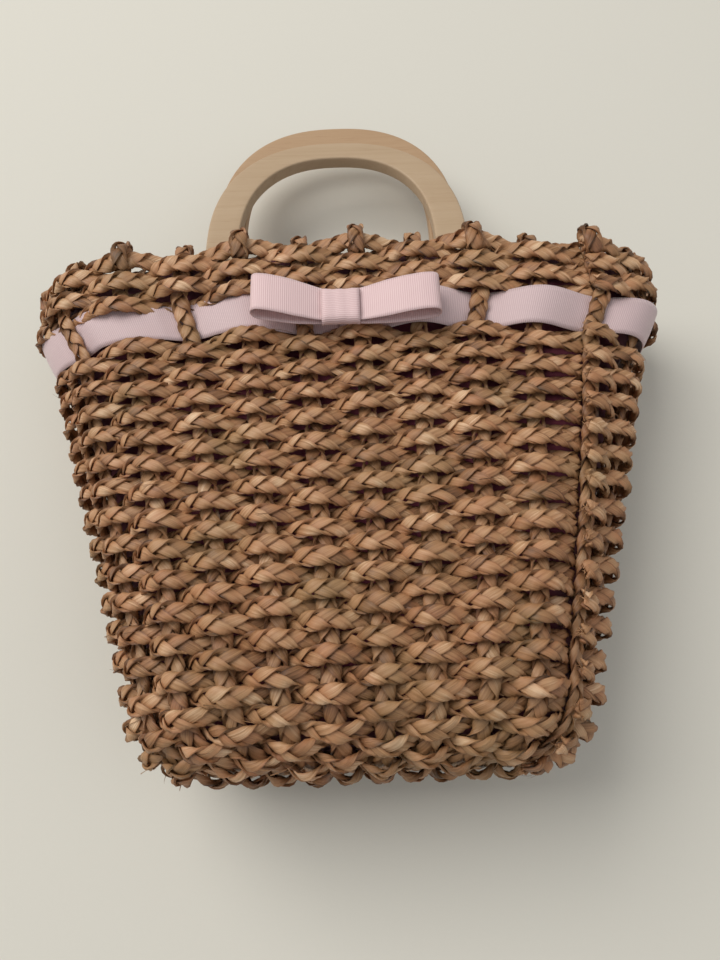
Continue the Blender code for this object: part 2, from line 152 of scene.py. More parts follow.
FOOT_Z = BASE_LIFT + BOTTOM_ROUND_RISE
TOP_WALL_ROW = FIRST_ROW_LEVEL + ROW_PITCH * (BOTTOM_ROWS + WALL_ROWS - 1)
RIBBON_LEVEL = TOP_WALL_ROW + SLOT_PITCH / 2
FIRST_RIM = BOTTOM_ROWS + WALL_ROWS
FIRST_RIM_LEVEL = TOP_WALL_ROW + SLOT_PITCH
TOP_ROW = FIRST_RIM_LEVEL + RIM_PITCH * (RIM_ROWS - 1)
SLOT_BOTTOM = TOP_WALL_ROW + ROW_HEIGHT / 2
SLOT_TOP = FIRST_RIM_LEVEL - ROW_HEIGHT / 2
LINING_TOP_LEVEL = TOP_ROW - ROW_HEIGHT / 2 + 0.0026

UP = np.array([0.0, 0.0, 1.0])


# ---------------------------------------------------------------- shell surface

ROUND_ANGLES = np.linspace(0.0, math.pi / 2, 61)
ROUND_RUNS = BOTTOM_ROUND_RUN * np.sin(ROUND_ANGLES)
ROUND_RISES = BOTTOM_ROUND_RISE * (1 - np.cos(ROUND_ANGLES))
ROUND_STEPS = np.hypot(np.diff(ROUND_RUNS), np.diff(ROUND_RISES))
ROUND_LEVELS = np.concatenate([[0.0], np.cumsum(ROUND_STEPS)])
ROUND_LENGTH = ROUND_LEVELS[-1]


def round_angle(level):
    return np.interp(level, ROUND_LEVELS, ROUND_ANGLES)


def plan(level):
    """Half width, half depth and corner radius of the shell, and its height, at these levels."""
    angle = round_angle(level)
    inset = BOTTOM_ROUND_RUN * (1 - np.sin(angle)) - np.minimum(level, 0.0)
    height = BASE_LIFT + BOTTOM_ROUND_RISE * (1 - np.cos(angle))
    height = height + np.maximum(level - ROUND_LENGTH, 0.0)
    up = np.maximum(height - FOOT_Z, 0.0)
    tapered = np.minimum(up, SLOT_BOTTOM - ROUND_LENGTH)
    flare = np.clip((level - SLOT_BOTTOM) / (SLOT_TOP - SLOT_BOTTOM), 0.0, 1.0)
    half_width = FOOT_HALF_WIDTH + WIDTH_TAPER * tapered + RIM_FLARE * flare - inset
    half_depth = FOOT_HALF_DEPTH - DEPTH_LEAN * up + RIM_FLARE_DEPTH * flare - inset
    return half_width, half_depth, END_ROUNDNESS * half_depth, height


def on_shell(stake, level):
    """Points of the shell, for arrays of stake positions and levels."""
    stake, level = np.broadcast_arrays(np.asarray(stake, float), np.asarray(level, float))
    half_width, half_depth, corner, height = plan(level)
    twist = RIM_TWIST * np.clip(level / TOP_ROW, 0.0, 1.0)
    share = ((stake - twist) / STAKE_COUNT) % 1.0
    front = half_width - corner
    side = half_depth - corner
    quarter = front + corner * math.pi / 2 + side
    along = share * 4 * quarter
    back = along > 2 * quarter
    along = np.where(back, 4 * quarter - along, along)
    rear = along > quarter
    along = np.where(rear, 2 * quarter - along, along)
    angle = np.clip((along - front) / corner, 0.0, math.pi / 2)
    x = np.minimum(along, front) + corner * np.sin(angle)
    y = -side - corner * np.cos(angle) + np.maximum(along - front - corner * math.pi / 2, 0.0)
    reach = np.clip((x - DROOP_START) / (DROOP_END - DROOP_START), 0.0, 1.0)
    droop = np.where(back, LEFT_DROOP, RIGHT_DROOP) * reach**2 * (3 - 2 * reach)
    droop = droop * np.clip((level - ROUND_LENGTH) / (TOP_ROW - ROUND_LENGTH), 0.0, 1.0)
    return np.stack([np.where(back, -x, x), np.where(rear, -y, y), height - droop], -1)


def unit(vectors):
    return vectors / np.linalg.norm(vectors, axis=-1, keepdims=True)


def shell_frame(stake, level):
    """Points of the shell, with the directions along a row, up the wall and out of it."""
    stake, level = np.broadcast_arrays(np.asarray(stake, float), np.asarray(level, float))
    along = unit(on_shell(stake + 0.02, level) - on_shell(stake - 0.02, level))
    angle = round_angle(level)[..., None]
    out = np.cross(along, UP) * BOTTOM_ROUND_RISE * np.sin(angle)
    out = unit(out - UP * BOTTOM_ROUND_RUN * np.cos(angle))
    return on_shell(stake, level), along, np.cross(out, along), out


def spacing(level):
    """Length of the shell between one stake and the next, at this level."""
    half_width, half_depth, corner, _ = plan(np.asarray(level, float))
    return 4 * float(half_width + half_depth - 2 * corner + corner * math.pi / 2) / STAKE_COUNT


# ---------------------------------------------------------------- mesh helpers


def add_object(name, data):
    item = bpy.data.objects.new(name, data)
    bpy.context.scene.collection.objects.link(item)
    return item


class Shape:
    """Vertices, faces, a grain coordinate and a tint, gathered before they become one mesh."""

    def __init__(self):
        self.vertices = []
        self.faces = []
        self.grain = []
        self.tint = []
        self.crisp = []
        self.count = 0

    def add(self, vertices, faces, grain, tint, crisp=False):
        """Add points with their faces. tint and crisp are one value, or one for each point."""
        count = vertices.size // 3
        self.vertices.append(vertices.reshape(count, 3))
        self.faces.extend([tuple(int(v) + self.count for v in face) for face in faces])
        self.grain.append(grain.reshape(count, 2))
        self.tint.append(np.broadcast_to(np.ravel(tint), count))
        self.crisp.append(np.broadcast_to(crisp, count))
        self.count += count

    def piece(self, name, material, body, nodes):
        """Make the mesh. It rides on a body and replaces these nodes of the part."""
        mesh = bpy.data.meshes.new(name)
        mesh.from_pydata(np.concatenate(self.vertices).tolist(), [], self.faces)
        mesh.polygons.foreach_set("use_smooth", np.ones(len(mesh.polygons), bool))
        corner_vertices = np.zeros(len(mesh.loops), np.int32)
        mesh.loops.foreach_get("vertex_index", corner_vertices)
        grain = np.concatenate(self.grain)[corner_vertices].astype(np.float32)
        mesh.uv_layers.new(name="grain").data.foreach_set("uv", grain.ravel())
        tint = mesh.attributes.new("tint", "FLOAT", "POINT")
        tint.data.foreach_set("value", np.concatenate(self.tint).astype(np.float32))
        ends = np.zeros(len(mesh.edges) * 2, np.int32)
        mesh.edges.foreach_get("vertices", ends)
        sharp = np.concatenate(self.crisp)[ends.reshape(-1, 2)].all(axis=1)
        mesh.attributes.new("sharp_edge", "BOOLEAN", "EDGE").data.foreach_set("value", sharp)
        mesh.materials.append(material)
        mesh.update()
        item = add_object(name, mesh)
        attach(item, body)
        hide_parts(*nodes)
        return item


def wall_faces(rings, around, closed=False):
    """Quads between rings of points. A closed wall goes on from its last ring to its first."""
    steps = np.arange(rings if closed else rings - 1)
    ring, spot = np.meshgrid(steps, np.arange(around), indexing="ij")
    after = (spot + 1) % around
    following = (ring + 1) % rings
    quads = [ring * around + spot, ring * around + after]
    quads += [following * around + after, following * around + spot]
    return np.stack(quads, -1).reshape(-1, 4).tolist()


def tube_faces(rings, around):
    """A tube whose rings run anticlockwise round its direction, with its two caps."""
    last = (rings - 1) * around
    caps = [list(range(around - 1, -1, -1)), list(range(last, last + around))]
    return wall_faces(rings, around) + caps


def wander(distance, scale, random):
    """A smooth random value between -1 and 1 that changes over about this distance."""
    knots = random.uniform(-1, 1, int(distance[-1] / scale) + 4)
    place = distance / scale + random.uniform(0, 1)
    low = np.floor(place).astype(int)
    share = (1 - np.cos(math.pi * (place - low))) / 2
    return knots[low] * (1 - share) + knots[low + 1] * share


def distances(points):
    """Length along a path, at each of its points."""
    return np.concatenate([[0.0], np.cumsum(np.linalg.norm(np.diff(points, axis=0), axis=1))])


def resample(points, step):
    """The same path with evenly spaced points, its corners rounded off."""
    points = np.asarray(points, float)
    length = distances(points)
    places = np.linspace(0, length[-1], max(int(length[-1] / step), 4))
    path = np.stack([np.interp(places, length, points[:, axis]) for axis in range(3)], -1)
    for _ in range(3):
        path[1:-1] = (path[:-2] + 2 * path[1:-1] + path[2:]) / 4
    return path, places / length[-1]


# ---------------------------------------------------------------- plaits

SECTION_ACROSS = np.array([1.0, 0.82, 0.3, -0.25, -0.8, -1.0, -0.82, -0.3, 0.25, 0.8])
SECTION_THICK = np.array([0.0, 0.62, 1.05, 0.78, 0.7, 0.0, -0.62, -1.05, -0.78, -0.7])
SHARP_SPOTS = (0, 2, 5, 7)


def strand_roll(phase):
    """How far a strand is turned over: flat where it crosses, on edge where it folds back."""
    turn = phase % math.tau / math.pi
    second = turn >= 1
    turn = np.where(second, turn - 1, turn)
    roll = math.pi * turn**ROLL_POWER / (turn**ROLL_POWER + (1 - turn) ** ROLL_POWER)
    return np.where(second, math.pi - roll, roll)


def strand_centre(path, side, normal, length, size, turn, random):
    """Centre line of one strand, which zigzags across the plait and crosses the others."""
    reach = PLAIT_REACH * size * (1 + 0.10 * wander(length, 0.012, random))
    depth = PLAIT_DEPTH * (0.5 + 0.5 * size)
    zigzag = np.arcsin(PLAIT_SHARPNESS * np.sin(turn)) / math.asin(PLAIT_SHARPNESS)
    centre = path + side * (reach * zigzag)[:, None]
    return centre + normal * (depth * np.sin(2 * turn))[:, None]


def strand_directions(centre, normal, length, turn, random):
    """Directions across a strand and through it. They roll over where it folds back."""
    ahead = unit(np.gradient(centre, axis=0))
    flat = unit(normal - np.sum(normal * ahead, axis=1, keepdims=True) * ahead)
    across = np.cross(flat, ahead)
    roll = strand_roll(turn) + 0.18 * wander(length, 0.010, random)
    cosine, sine = np.cos(roll)[:, None], np.sin(roll)[:, None]
    return across * cosine - flat * sine, flat * cosine + across * sine


def strand_corners(centre, across, flat, length, size, turn, random):
    """Points round a strand, which is narrower and thicker where it folds back."""
    fold = np.sin(turn) ** 6
    width = STRAND_HALF_WIDTH * size * (1 - 0.30 * fold)
    width = width * (1 + 0.18 * wander(length, 0.011, random))
    thick = STRAND_HALF_THICKNESS * (1 + 0.5 * fold) * (1 + 0.2 * wander(length, 0.009, random))
    corners = np.empty((len(centre), len(SECTION_ACROSS), 3))
    for spot, (wide, high) in enumerate(zip(SECTION_ACROSS, SECTION_THICK)):
        crease = 1 + 0.28 * wander(length, 0.007, random)
        move = across * (width * wide)[:, None] + flat * (thick * high * crease)[:, None]
        corners[:, spot] = centre + move
    return corners


def plait(shape, path, side, size, random, tone=0.0):
    """Three flat strands plaited along a path. side points across the plait, size scales it."""
    length = distances(path)
    count = len(path)
    size = np.broadcast_to(np.asarray(size, float), (count,))
    forward = unit(np.gradient(path, axis=0))
    side = unit(side - np.sum(side * forward, axis=1, keepdims=True) * forward)
    normal = np.cross(forward, side)
    start = random.uniform(0, math.tau)
    phase = start + math.tau * length / PLAIT_PERIOD + 0.5 * wander(length, 0.03, random)
    spots = len(SECTION_ACROSS)
    faces = tube_faces(count, spots)
    crisp = np.tile(np.isin(np.arange(spots), SHARP_SPOTS), count)
    for strand in range(3):
        turn = phase + strand * math.tau / 3
        centre = strand_centre(path, side, normal, length, size, turn, random)
        across, flat = strand_directions(centre, normal, length, turn, random)
        corners = strand_corners(centre, across, flat, length, size, turn, random)
        grain = np.empty((count, spots, 2))
        grain[..., 0] = 0.5 + 0.5 * SECTION_ACROSS
        grain[..., 1] = (length + random.uniform(0, 40))[:, None]
        tint = 0.48 + tone + 0.12 * random.uniform(-1, 1) + 0.26 * wander(length, 0.0105, random)
        # The sin(2 * turn) term makes each strand lighter where it rises over the others and darker
        # where it dips under them: painted shade.
        tint = np.repeat((tint + 0.13 * np.sin(2 * turn))[:, None], spots, axis=1)
        shape.add(corners, faces, grain, tint, crisp)


def fibre(shape, path, radius, tint, random):
    """One loose thread of leaf, tapering to its tip."""
    path = np.asarray(path, float)
    forward = unit(np.gradient(path, axis=0))
    helper = unit(np.cross(forward, random.normal(size=3)))
    other = np.cross(forward, helper)
    taper = radius * np.linspace(1.0, 0.25, len(path))
    corners = np.empty((len(path), 4, 3))
    for spot in range(4):
        angle = spot * math.pi / 2
        move = helper * math.cos(angle) + other * math.sin(angle) * 0.5
        corners[:, spot] = path + move * taper[:, None]
    grain = np.zeros((len(path), 4, 2))
    grain[..., 1] = distances(path)[:, None]
    shape.add(corners, tube_faces(len(path), 4), grain, tint)


def tuft(shape, root, direction, count, length, random):
    """Short pale threads at the cut end of a plait."""
    direction = np.asarray(direction, float)
    for _ in range(count):
        start = root + random.normal(size=3) * 0.0011
        lean = unit(direction + random.normal(size=3) * 0.42)
        bend = random.normal(size=3) * 0.25
        reach = length * random.uniform(0.5, 1.0)
        steps = np.linspace(0, 1, 5)[:, None]
        path = start + (lean * steps + bend * steps**2 * 0.5) * reach
        fibre(shape, path, random.uniform(0.0002, 0.00045), random.uniform(0.75, 1.05), random)


# ---------------------------------------------------------------- rows


def row_levels():
    levels = [FIRST_ROW_LEVEL + ROW_PITCH * row for row in range(FIRST_RIM)]
    return levels + [FIRST_RIM_LEVEL + RIM_PITCH * row for row in range(RIM_ROWS)]


def row_name(row):
    if row < BOTTOM_ROWS:
        return f"bottom_row_{row + 1:02d}"
    if row < FIRST_RIM:
        return f"wall_row_{row - BOTTOM_ROWS + 1:02d}"
    return f"rim_row_{row - FIRST_RIM + 1:02d}"


def row_side(row, stake):
    """+1 where this row passes outside the stake, -1 inside. The ribbon takes one row's turn."""
    turn = row + 1 if row >= FIRST_RIM else row
    return 1 if (turn + round(stake - SEAM_STAKE)) % 2 == 0 else -1


def row_swing(row):
    """How far a row's plait bulges out of the shell at a stake."""
    if row < BOTTOM_ROWS:
        return BOTTOM_SWING
    return WALL_SWING if row < FIRST_RIM else RIM_SWING


def row_scale(row):
    """How thick a row's plait is. The rows of the rim grow towards the top."""
    if row < BOTTOM_ROWS:
        return BOTTOM_ROW_SCALE
    if row < FIRST_RIM:
        return 1.0
    return FIRST_RIM_SCALE + RIM_SCALE_STEP * (row - FIRST_RIM)


def between(values, place):
    """Values at whole places, joined by smooth curves."""
    place = np.clip(place, 0, len(values) - 1.0001)
    low = place.astype(int)
    share = (1 - np.cos(math.pi * (place - low))) / 2
    return values[low] * (1 - share) + values[low + 1] * share


def left_sag(stakes):
    """How much the rim hangs over the ribbon beside the bow's left end, 0 to 1."""
    return np.clip(1 - ((stakes - LEFT_SAG_STAKE) / 2.2) ** 2, 0.0, 1.0)


def row_path(row, level, random):
    """Centre points of one row, its swing from -1 to 1 at each, and the directions up and out."""
    step = spacing(level)
    outside = row_side(row, SEAM_STAKE) > 0
    before = (SEAM_START_OUTSIDE if outside else SEAM_START_INSIDE) / step
    after = SEAM_END_ROOM / step
    place = np.linspace(before, STAKE_COUNT - after, int(step * STAKE_COUNT / STEP))
    turns = [row_side(row, SEAM_STAKE + crossing) for crossing in range(STAKE_COUNT)]
    wave = between(np.array([*turns, SEAM_END_TURN], float), np.maximum(place, 0.0))
    stakes = SEAM_STAKE + place
    length = place * step - before * step
    drift = 0.0007 * wander(length, 0.05, random)
    sag = np.zeros(len(place))
    if row >= FIRST_RIM:
        sag = left_sag(stakes) * (1 - (row - FIRST_RIM) / RIM_ROWS)
    if row == FIRST_RIM + RIM_ROWS - 1:
        drift = drift - TOP_ROW_DROP
    points, _, up, out = shell_frame(stakes, level + drift - LEFT_SAG * sag)
    ends = np.where(wave > 0, END_BULGE * out[:, 0] ** 4, 0.0)
    offset = wave * (row_swing(row) + ends) + 0.0004 * wander(length, 0.04, random)
    offset = offset + SAG_BULGE * sag * (wave > 0) * wave
    return points + out * offset[:, None], wave, up, out


def add_rows(material):
    for row, level in enumerate(row_levels()):
        random = np.random.default_rng(100 + row)
        path, wave, up, out = row_path(row, level, random)
        shape = Shape()
        plait(shape, path, up, (1.0 + OUTSIDE_GROWTH * wave) * row_scale(row), random)
        if row_side(row, SEAM_STAKE) > 0:
            tuft(shape, path[0], path[0] - path[2], 9, 0.0035, random)
        add_loose_threads(shape, path, out, random)
        shape.piece(f"{row_name(row)}_plait", material, "basket", [row_name(row)])


def add_loose_threads(shape, path, out, random):
    """A few thin threads that have lifted off a row's outer bulges."""
    for _ in range(5):
        spot = int(random.integers(10, len(path) - 14))
        ahead = path[spot + 6] - path[spot]
        lift = out[spot] * random.uniform(0.001, 0.003)
        steps = np.linspace(0, 1, 6)[:, None]
        start = path[spot] + out[spot] * 0.0022 + UP * random.uniform(-0.003, 0.003)
        thread = start + ahead * steps + lift * np.sin(steps * 2.2)
        fibre(shape, thread, random.uniform(0.00015, 0.0003), random.uniform(0.4, 1.0), random)


# ---------------------------------------------------------------- stakes and base

def hook(stake):
    """Levels and offsets from a stake's tucked end, over the top row and down to the slot."""
    side = row_side(FIRST_RIM + RIM_ROWS - 1, stake)
    return [
        (TOP_ROW - 0.0085, side * 0.0040),
        (TOP_ROW - 0.0030, side * HOOK_REACH),
        (TOP_ROW + 0.0040, side * (HOOK_REACH + 0.0002)),
        (TOP_ROW + CREST_RISE - 0.0008, side * 0.0062),
        (TOP_ROW + CREST_RISE, side * 0.0030),
        (TOP_ROW + CREST_RISE - 0.0024, side * 0.0002),
        (TOP_ROW + 0.0020, 0.0),
        (SLOT_TOP, 0.0),
    ]


def upright(stake):
    """Points and side directions down one stake, from its tucked end to the edge of the base."""
    places = hook(stake)
    places += [(level, 0.0) for level in np.linspace(SLOT_BOTTOM, ROUND_LENGTH, UPRIGHT_POINTS)]
    places += [(level, 0.0) for level in np.linspace(ROUND_LENGTH, 0.0, UPRIGHT_POINTS)[1:]]
    levels = np.array([level for level, _ in places])
    offsets = np.array([offset for _, offset in places])
    points, along, _, out = shell_frame(np.full(len(levels), stake), levels)
    return points + out * offsets[:, None], along


def add_stake(name, points, sides, random, material):
    """One plaited stake through these points, its width along these directions."""
    path, share = resample(points, STEP)
    known = distances(points) / distances(points)[-1]
    side = np.stack([np.interp(share, known, sides[:, axis]) for axis in range(3)], -1)
    shape = Shape()
    plait(shape, path, side, STAKE_SCALE, random, tone=STAKE_TONE)
    shape.piece(f"{name}_plait", material, "basket", [name])


def add_cross_stakes(material):
    for number in range(CROSS_STAKES):
        front = number - (CROSS_STAKES - 1) / 2
        front_points, front_sides = upright(front)
        back_points, back_sides = upright(STAKE_COUNT / 2 - front)
        points = np.concatenate([front_points, back_points[::-1]])
        sides = np.concatenate([front_sides, -back_sides[::-1]])
        name = f"cross_stake_{number + 1:02d}"
        add_stake(name, points, sides, np.random.default_rng(200 + number), material)


def base_weave(y, first_side, low, reach):
    """Centre points along X that pass below and above the cross stakes in turn."""
    middle = (CROSS_STAKES - 1) / 2
    crossings = [float(on_shell(number - middle, 0.0)[0]) for number in range(CROSS_STAKES)]
    points = [(-reach, y, BASE_LIFT)] if reach else []
    for number, x in enumerate(crossings):
        side = first_side if number % 2 == 0 else -first_side
        height = low if side > 0 else 2 * BASE_LIFT - low
        points += [(x - WEAVE_FLAT, y, height), (x + WEAVE_FLAT, y, height)]
    if reach:
        points.append((reach, y, BASE_LIFT))
    return np.array(points)


def add_long_stakes(material):
    for name, right, first_side in (("long_stake_front", 5.5, 1), ("long_stake_back", 6.5, -1)):
        left_points, left_sides = upright(STAKE_COUNT - right)
        right_points, right_sides = upright(right)
        y = float(right_points[-1][1])
        weave = base_weave(y, first_side, LOWEST_CENTRE, 0.0)
        across = np.sign(left_sides[-1][1]) * np.array([[0.0, 1.0, 0.0]])
        middle_sides = np.repeat(across, len(weave), axis=0)
        points = np.concatenate([left_points, weave, right_points[::-1]])
        sides = np.concatenate([left_sides, middle_sides, -right_sides[::-1]])
        add_stake(name, points, sides, np.random.default_rng(230 + int(right)), material)


def add_base_row(material):
    reach = float(on_shell(4.5, 0.0)[0]) + 0.006
    points = base_weave(0.0, -1, LOWEST_CENTRE, reach)
    sides = np.repeat(np.array([[0.0, 1.0, 0.0]]), len(points), axis=0)
    add_stake("base_row", points, sides, np.random.default_rng(240), material)


# ---------------------------------------------------------------- ribbon and bow


def thicken(item, thickness):
    solid = item.modifiers.new("thickness", "SOLIDIFY")
    solid.thickness = thickness
    solid.offset = 0.0


def sheet(name, grid, thickness, material, nodes):
    """A thin cloth on the basket. Rows of the grid run along it, columns across it."""
    rows, columns, _ = grid.shape
    row, column = np.meshgrid(np.arange(rows - 1), np.arange(columns - 1), indexing="ij")
    first = row * columns + column
    faces = np.stack([first, first + columns, first + columns + 1, first + 1], -1)
    along = distances(grid[:, columns // 2])
    across = distances(grid[rows // 2])
    grain = np.stack(np.meshgrid(along, across, indexing="ij"), -1)
    shape = Shape()
    shape.add(grid, faces.reshape(-1, 4).tolist(), grain, MIDDLE_TINT)
    thicken(shape.piece(name, material, "basket", nodes), thickness)


def add_ribbon(material):
    """The ribbon, in front of every second stake and behind the others. Its ends meet under the bow."""
    values = []
    for count in range(-1, STAKE_COUNT + 2):
        stake = count + 0.5
        from_bow = min(stake % STAKE_COUNT, STAKE_COUNT - stake % STAKE_COUNT)
        values.append(RIBBON_INSIDE if round(from_bow - 0.5) % 2 == 0 else RIBBON_OUTSIDE)
    stakes = np.linspace(-0.16, STAKE_COUNT + 0.10, 480)
    offset = between(np.array(values), np.maximum(stakes + 0.5, 0.0))
    offset = offset - RIBBON_TUCK * np.clip((0.35 - stakes) / 0.4, 0.0, 1.0)
    offset = offset - RIBBON_SAG_ROOM * left_sag(stakes) * (offset > 0) * offset / RIBBON_OUTSIDE
    random = np.random.default_rng(300)
    length = (stakes - stakes[0]) * spacing(RIBBON_LEVEL)
    sag = 0.0006 * wander(length, 0.05, random)
    lean = 0.0007 * wander(length, 0.04, random)
    columns = []
    for share in np.linspace(-1, 1, 9):
        level = RIBBON_LEVEL + sag + share * RIBBON_WIDTH / 2
        points, _, _, out = shell_frame(stakes, level)
        crown = RIBBON_CROWN * (1 - share**2)
        columns.append(points + out * (offset + crown + lean * share)[:, None])
    grid = np.stack(columns, 1)
    sheet("ribbon_band_cloth", grid, CLOTH_THICKNESS, material, ["ribbon_band"])


def bow_point(x, out, up):
    """Places in front of the middle of the ribbon, for arrays of distances."""
    centre, _, up_wall, out_wall = shell_frame(RIM_TWIST, RIBBON_LEVEL)
    x, out, up = np.broadcast_arrays(x, out, up)
    base = np.array([BOW_CENTRE_X, centre[1], centre[2]]) - up_wall * BOW_DROP
    side = np.array([1.0, 0.0, 0.0])
    return base + side * x[..., None] + out_wall * out[..., None] + up_wall * up[..., None]


BOW_LOOP_PATH = [
    (0.0006, 0.0089), (0.012, 0.0091), (0.026, 0.0095), (0.040, 0.0103), (0.0465, 0.0108),
    (0.0492, 0.0124), (0.0500, 0.0148), (0.0493, 0.0172), (0.0470, 0.0187),
    (0.041, 0.0189), (0.032, 0.0176), (0.022, 0.0151), (0.012, 0.0124), (0.0006, 0.0112),
]


def add_bow_loop(name, side, reach, rise, material):
    """One loop: out along the ribbon, round its end and back in front, pinched beside the wrap."""
    flat = np.array([(x * reach, out, 0.0) for x, out in BOW_LOOP_PATH])
    path, _ = resample(flat, 0.0011)
    x, out = path[:, 0], path[:, 1]
    front = np.clip((out - 0.0110) / 0.005, 0.0, 1.0)
    columns = []
    for share in np.linspace(-1, 1, 11):
        pinch = BOW_PINCH + (1 - BOW_PINCH) * np.clip(x / 0.024, 0.0, 1.0) ** 0.8
        up = share * RIBBON_WIDTH / 2 * pinch + rise * (x / 0.05) ** 1.3
        ripple = 0.0004 * np.sin(share * 5.0 + x * 160) * np.clip(1 - x / 0.02, 0.0, 1.0)
        belly = 0.0007 * front * (1 - share**2) * np.sin(np.clip(x / 0.05, 0, 1) * math.pi)
        columns.append(bow_point(side * x, out + ripple + belly, up))
    grid = np.stack(columns, 1)
    sheet(f"{name}_cloth", grid, CLOTH_THICKNESS, material, [name])


def add_bow_wrap(material):
    """The short piece of ribbon that goes round the middle of the bow."""
    half_height = RIBBON_WIDTH / 2 * 0.80 + 0.0010
    near, far, corner = 0.0078, 0.0140, 0.0016
    flat = np.array([
        (0.0015, near, 0.0), (half_height - corner, near, 0.0), (half_height, near + corner, 0.0),
        (half_height, far - corner, 0.0), (half_height - corner, far, 0.0),
        (0.004, far + 0.0004, 0.0), (-0.004, far + 0.0004, 0.0),
        (corner - half_height, far, 0.0), (-half_height, far - corner, 0.0),
        (-half_height, near + corner, 0.0), (corner - half_height, near, 0.0), (-0.0015, near, 0.0),
    ])
    path, _ = resample(flat, 0.0009)
    up, out = path[:, 0], path[:, 1]
    columns = []
    for share in np.linspace(-1, 1, 11):
        ridge = 0.00025 * np.cos(share * 9.0 + up * 60)
        height = up * (1 + 0.05 * share**2)
        columns.append(bow_point(BOW_WRAP_HALF_WIDTH * share, out + ridge, height))
    grid = np.stack(columns, 1)
    sheet("bow_centre_wrap_cloth", grid, CLOTH_THICKNESS, material, ["bow_centre_wrap"])


# ---------------------------------------------------------------- lining and sleeves


def lining_rings(stakes, wrinkle):
    """Rings of points from the lining's hem down the wall and in across the floor."""
    levels = np.concatenate([
        np.linspace(LINING_TOP_LEVEL, ROUND_LENGTH, 40), np.linspace(ROUND_LENGTH, 0.0, 12)[1:],
    ])
    rings = []
    for level in levels:
        high = np.clip((level - 0.12) / 0.12, 0.0, 1.0)
        points, _, _, out = shell_frame(stakes, level + 0.0008 * high * wrinkle)
        ripple = wrinkle + np.sin(level * 90 + stakes * 1.3) * 0.4
        offset = LINING_OFFSET - 0.0005 + 0.0007 * high * ripple
        rings.append(points - out * offset[:, None])
    floor = rings[-1]
    middle = np.array([0.0, 0.0, floor[:, 2].mean()])
    return rings + [middle + (floor - middle) * share for share in (0.75, 0.5, 0.25, 0.04)]


def add_lining(material):
    """An open cloth tub just inside the stakes, slightly wrinkled towards its top."""
    around = LINING_AROUND
    stakes = np.linspace(0, STAKE_COUNT, around, endpoint=False)
    length = stakes * LINING_STAKE_LENGTH
    wrinkle = wander(length, 0.035, np.random.default_rng(400))
    wrinkle[-3:] = wrinkle[:3][::-1]
    grid = np.stack(lining_rings(stakes, wrinkle), 0)
    rows = len(grid)
    # The rings run downwards, so their faces are flipped outwards
    faces = [face[:1] + face[:0:-1] for face in wall_faces(rows, around)]
    faces.append([(rows - 1) * around + spot for spot in range(around)])
    grain = np.zeros((rows, around, 2))
    grain[..., 0] = length[None, :]
    grain[..., 1] = np.linspace(0, 0.35, rows)[:, None]
    shape = Shape()
    shape.add(grid, faces, grain, MIDDLE_TINT)
    item = shape.piece("lining_cloth_tub", material, "basket", ["lining"])
    thicken(item, LINING_THICKNESS)


def add_sleeve(name, y, pivot_z, material):
    """A strip of lining cloth: up from the wall, round the handle's bar and down again."""
    wall = 1 if y > 0 else -1
    stake = STAKE_COUNT / 2 + RIM_TWIST if y > 0 else RIM_TWIST
    level = pivot_z - SLEEVE_TAIL - FOOT_Z + ROUND_LENGTH
    points, _, _, out = shell_frame(stake, level)
    foot = float(points[1] - out[1] * (LINING_OFFSET + 0.0012))
    radius = SLEEVE_RADIUS
    path = [(foot, pivot_z - SLEEVE_TAIL), (y + wall * radius * 0.97, pivot_z - 0.006)]
    for angle in np.radians(np.linspace(-8, 254, 24)):
        path.append((y + wall * radius * math.cos(angle), pivot_z + radius * math.sin(angle)))
    path += [(y + wall * 0.0045, pivot_z - 0.0095), (foot - wall * 0.0013, pivot_z - SLEEVE_TAIL)]
    flat = np.array([(place, height, 0.0) for place, height in path])
    smooth, _ = resample(flat, 0.0012)
    columns = []
    for x in np.linspace(-SLEEVE_HALF_LENGTH, SLEEVE_HALF_LENGTH, 25):
        gather = 0.00035 * math.sin(x * 900) + 0.0002 * math.sin(x * 2300)
        spread = 1 + gather / radius
        place = y + (smooth[:, 0] - y) * spread
        height = pivot_z + (smooth[:, 1] - pivot_z) * spread
        columns.append(np.stack([np.full(len(smooth), HANDLE_X + x), place, height], -1))
    grid = np.stack(columns, 1)
    sheet(f"{name}_cloth", grid, SLEEVE_THICKNESS, material, [name])


# ---------------------------------------------------------------- handles


def arch(half_width, top, bottom, corner):
    """A D outline from the middle of its bar, round to it again, evenly matched point by point."""
    right = [(half_width * share, bottom) for share in np.linspace(0, 0.7, 8)]
    for angle in np.linspace(0, math.pi / 2, 9):
        x = half_width - corner + corner * math.sin(angle)
        right.append((x, bottom + corner - corner * math.cos(angle)))
    left = [(-x, height) for x, height in reversed(right[1:])]
    power = 2 / CROWN_POWER
    crown = []
    for angle in np.linspace(0, math.pi, 97):
        x = half_width * math.copysign(abs(math.cos(angle)) ** power, math.cos(angle))
        crown.append((x, HANDLE_LEG + (top - HANDLE_LEG) * math.sin(angle) ** power))
    return np.array(right + crown + left)


def board_section():
    """Round the section of a handle: share of its width, inset from that edge, and depth."""
    half = HANDLE_BOARD / 2
    corner = HANDLE_ROUNDING
    angles = [math.pi / 2 * step / 4 for step in range(5)]
    insets = [corner * (1 - math.cos(angle)) for angle in angles]
    depths = [half - corner + corner * math.sin(angle) for angle in angles]
    section = [(0, inset, depth) for inset, depth in zip(insets, depths)]
    section += [(share, 0.0, half) for share in (0.25, 0.5, 0.75)]
    section += [(1, -inset, depth) for inset, depth in zip(insets[::-1], depths[::-1])]
    return section + [(share, inset, -depth) for share, inset, depth in reversed(section)]


